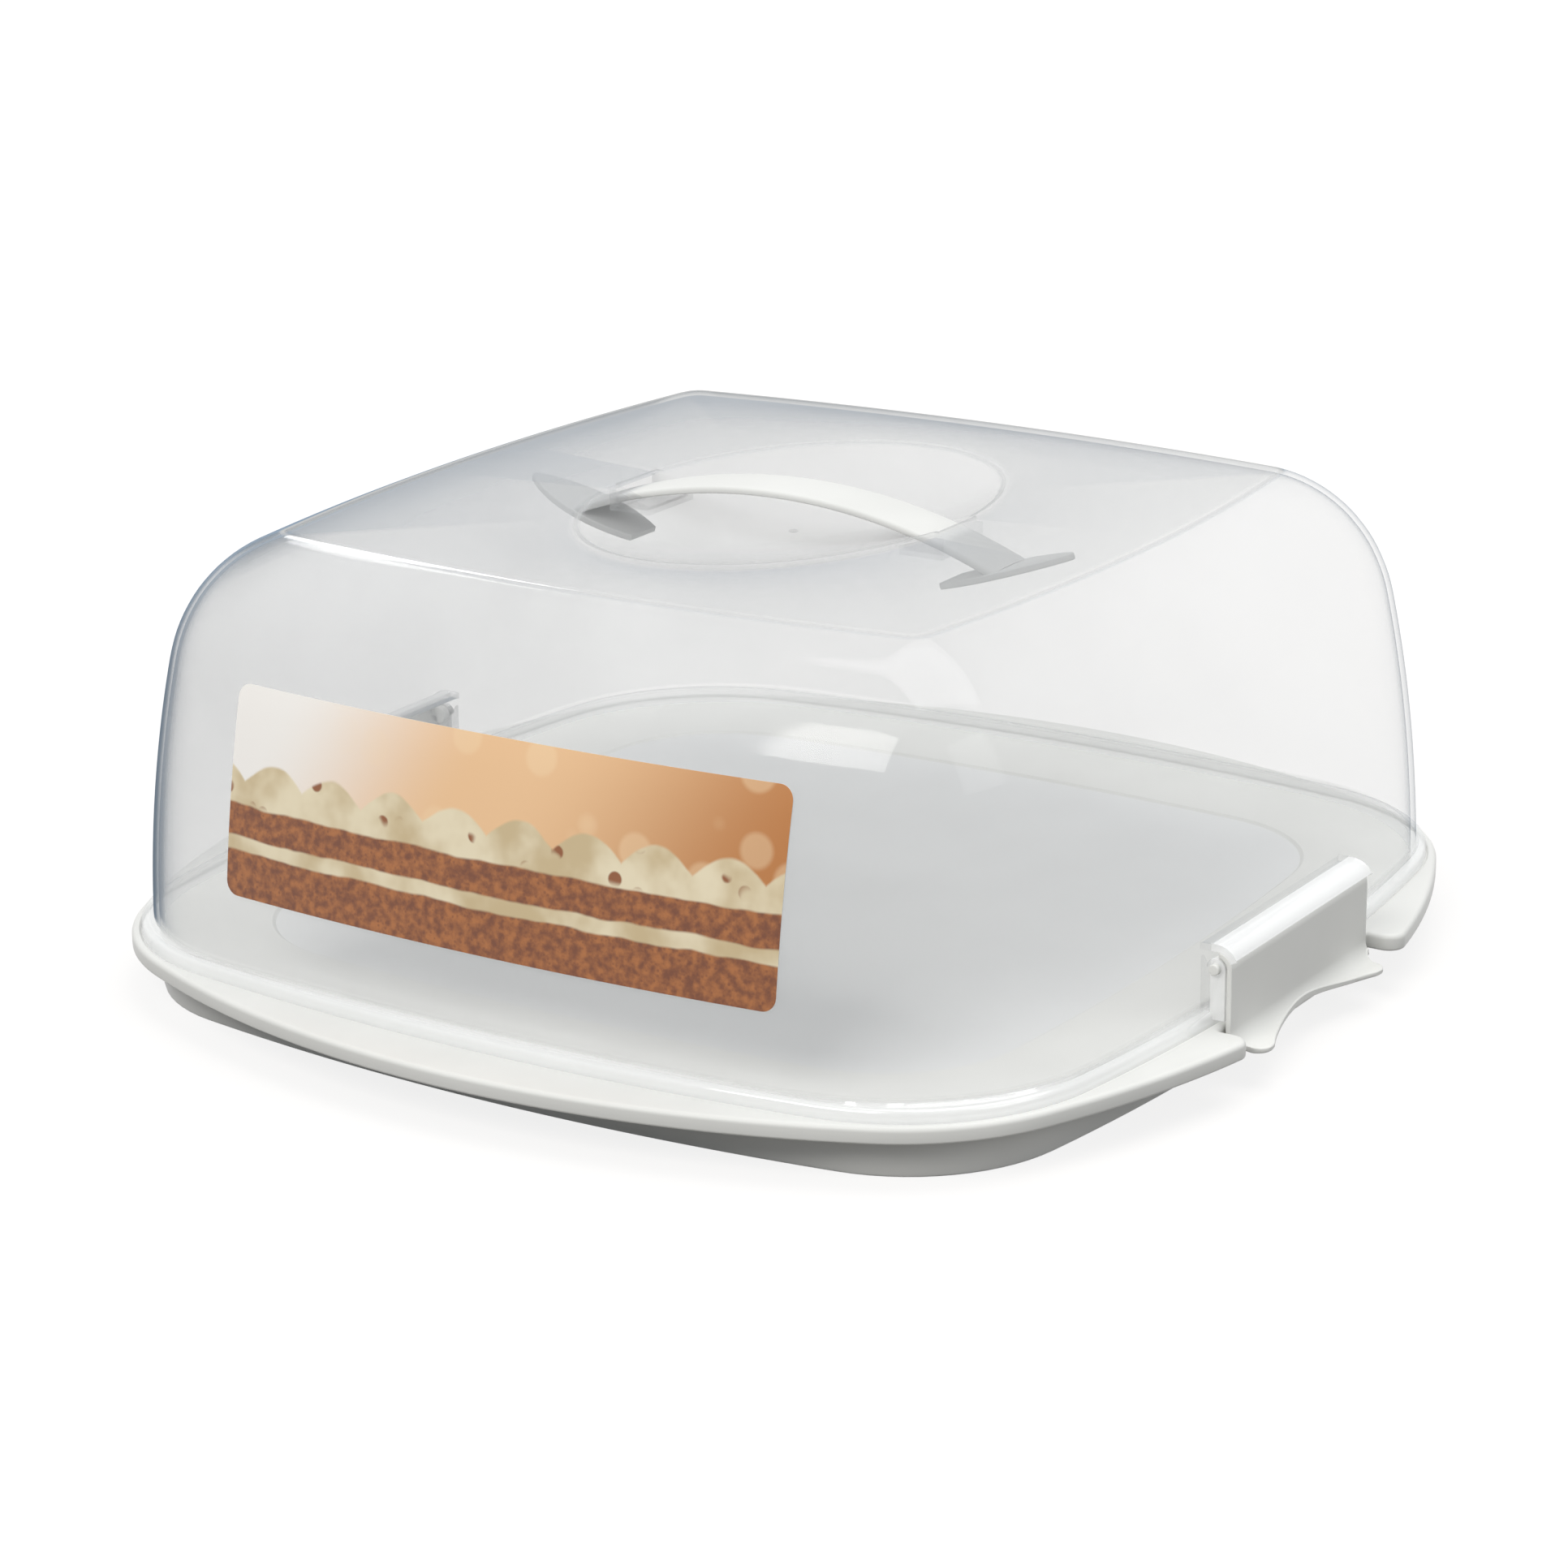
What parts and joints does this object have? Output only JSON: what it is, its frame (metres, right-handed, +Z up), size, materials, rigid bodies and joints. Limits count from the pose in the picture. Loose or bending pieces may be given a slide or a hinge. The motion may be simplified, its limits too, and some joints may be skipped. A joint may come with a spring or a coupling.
{
  "type": "cake box",
  "caption": "Domed square cake box: reversible tray with cup rings under it, translucent lid with a strap handle in a sunk well, and hinged side clips.",
  "frame": {"origin": "middle of the foot of the tray, on the surface that the box stands on", "axes": "+Z up, -Y towards the label on the front of the lid, +X and -X towards the side clips, with the handle strap along X"},
  "size_m": [0.342, 0.35, 0.1359],
  "materials": {
    "white_plastic": "satin moulded white",
    "translucent_plastic": "natural translucent, soft gloss",
    "label_paper": "coated print"
  },
  "bodies": {
    "tray": {"tray": "white_plastic"},
    "lid": {"lid": "translucent_plastic", "label": "label_paper"},
    "handle": {"handle": "white_plastic"},
    "clip_right": {"clip_right": "white_plastic"},
    "clip_left": {"clip_left": "white_plastic"}
  },
  "joints": [
    {"name": "lid_lift", "type": "slide", "parent": "tray", "child": "lid", "axis": [0, 0, 1], "range_m": [0, 0.15]},
    {"name": "handle_lift", "type": "slide", "parent": "lid", "child": "handle", "axis": [0, 0, 1], "range_m": [0, 0.0015]},
    {"name": "clip_right_swing", "type": "hinge", "parent": "lid", "child": "clip_right", "pos_m": [0.1577, 0, 0.0329], "axis": [0, -1, 0], "range_deg": [0, 45]},
    {"name": "clip_left_swing", "type": "hinge", "parent": "lid", "child": "clip_left", "pos_m": [-0.1577, 0, 0.0329], "axis": [0, 1, 0], "range_deg": [0, 45]}
  ]
}
